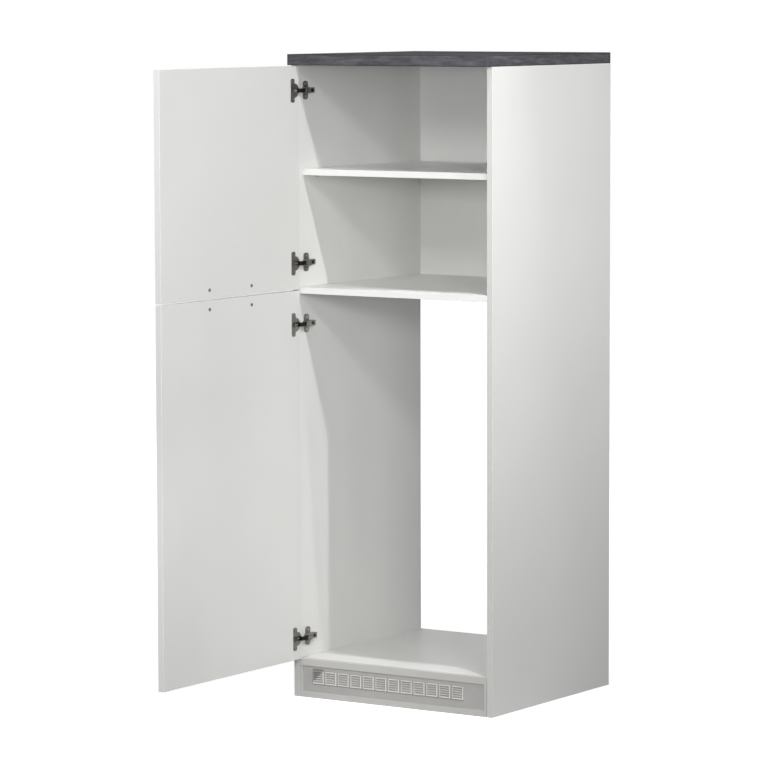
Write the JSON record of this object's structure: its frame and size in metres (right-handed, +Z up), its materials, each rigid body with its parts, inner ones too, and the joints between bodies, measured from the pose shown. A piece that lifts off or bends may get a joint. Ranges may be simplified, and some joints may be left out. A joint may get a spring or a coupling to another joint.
{
  "type": "fridge housing unit",
  "caption": "Tall kitchen cabinet with an open-backed niche for a built-in fridge, a shelved compartment above it, hinged doors, a dark top slab and a vented plinth.",
  "frame": {"origin": "on the floor at the middle of the plinth board's underside, at the middle of the cabinet's width", "axes": "+X to the right seen from the front, +Y to the back, +Z up; the doors are hinged at -X and stand open towards -Y"},
  "size_m": [0.627, 1.1831, 1.65],
  "materials": {
    "white_board": "chipboard faced with smooth white melamine, satin",
    "slab_laminate": "chipboard faced with anthracite laminate, matt",
    "grille_plastic": "moulded grey plastic, matt",
    "hinge_metal": "pressed steel with a dark plated finish",
    "screw_steel": "bright plated steel",
    "cam_metal": "die-cast light alloy, dull",
    "dowel_wood": "fluted beech, plain",
    "cap_plastic": "white plastic, satin",
    "handle_steel": "brushed steel"
  },
  "bodies": {
    "carcase": {"left_side_panel": "white_board", "right_side_panel": "white_board", "bottom_board": "white_board", "middle_board": "white_board", "adjustable_shelf": "white_board", "upper_back_panel": "white_board", "worktop": "slab_laminate", "plinth_board": "white_board", "plinth_grille": "grille_plastic", "cam_locks": "cam_metal", "cam_bolts": "screw_steel", "wooden_dowels": "dowel_wood", "cam_cover_caps": "cap_plastic", "shelf_pins": "screw_steel", "back_panel_nails": "screw_steel", "grille_screws": "screw_steel", "upper_hinge_arms": "hinge_metal", "upper_arm_pins": "screw_steel", "upper_mounting_plates": "hinge_metal", "upper_plate_screws": "hinge_metal", "upper_arm_screws": "hinge_metal", "lower_hinge_arms": "hinge_metal", "lower_arm_pins": "screw_steel", "lower_mounting_plates": "hinge_metal", "lower_plate_screws": "hinge_metal", "lower_arm_screws": "hinge_metal"},
    "upper_link": {"upper_hinge_links": "hinge_metal"},
    "upper_door": {"upper_door_panel": "white_board", "upper_hinge_cups": "hinge_metal", "upper_cup_pins": "screw_steel", "upper_cup_screws": "hinge_metal", "upper_handle": "handle_steel", "upper_handle_screws": "hinge_metal"},
    "lower_link": {"lower_hinge_links": "hinge_metal"},
    "lower_door": {"lower_door_panel": "white_board", "lower_hinge_cups": "hinge_metal", "lower_cup_pins": "screw_steel", "lower_cup_screws": "hinge_metal", "lower_handle": "handle_steel", "lower_handle_screws": "hinge_metal"}
  },
  "joints": [
    {"name": "upper_link_turn", "type": "hinge", "parent": "carcase", "child": "upper_link", "pos_m": [-0.266, 0.0065, 1.3386], "axis": [0, 0, 1], "range_deg": [-25, 5.6]},
    {"name": "upper_door_swing", "type": "hinge", "parent": "upper_link", "child": "upper_door", "pos_m": [-0.2782, -0.02088, 1.3386], "axis": [0, 0, 1], "range_deg": [-25.5, 114.9]},
    {"name": "lower_link_turn", "type": "hinge", "parent": "carcase", "child": "lower_link", "pos_m": [-0.266, 0.0065, 0.55815], "axis": [0, 0, 1], "range_deg": [-25, 5.6]},
    {"name": "lower_door_swing", "type": "hinge", "parent": "lower_link", "child": "lower_door", "pos_m": [-0.2782, -0.02088, 0.55815], "axis": [0, 0, 1], "range_deg": [-25.5, 114.9]}
  ],
  "couplings": [
    {"joint": "upper_link_turn", "follows": "upper_door_swing", "ratio": -0.21671},
    {"joint": "lower_link_turn", "follows": "lower_door_swing", "ratio": -0.21671}
  ]
}
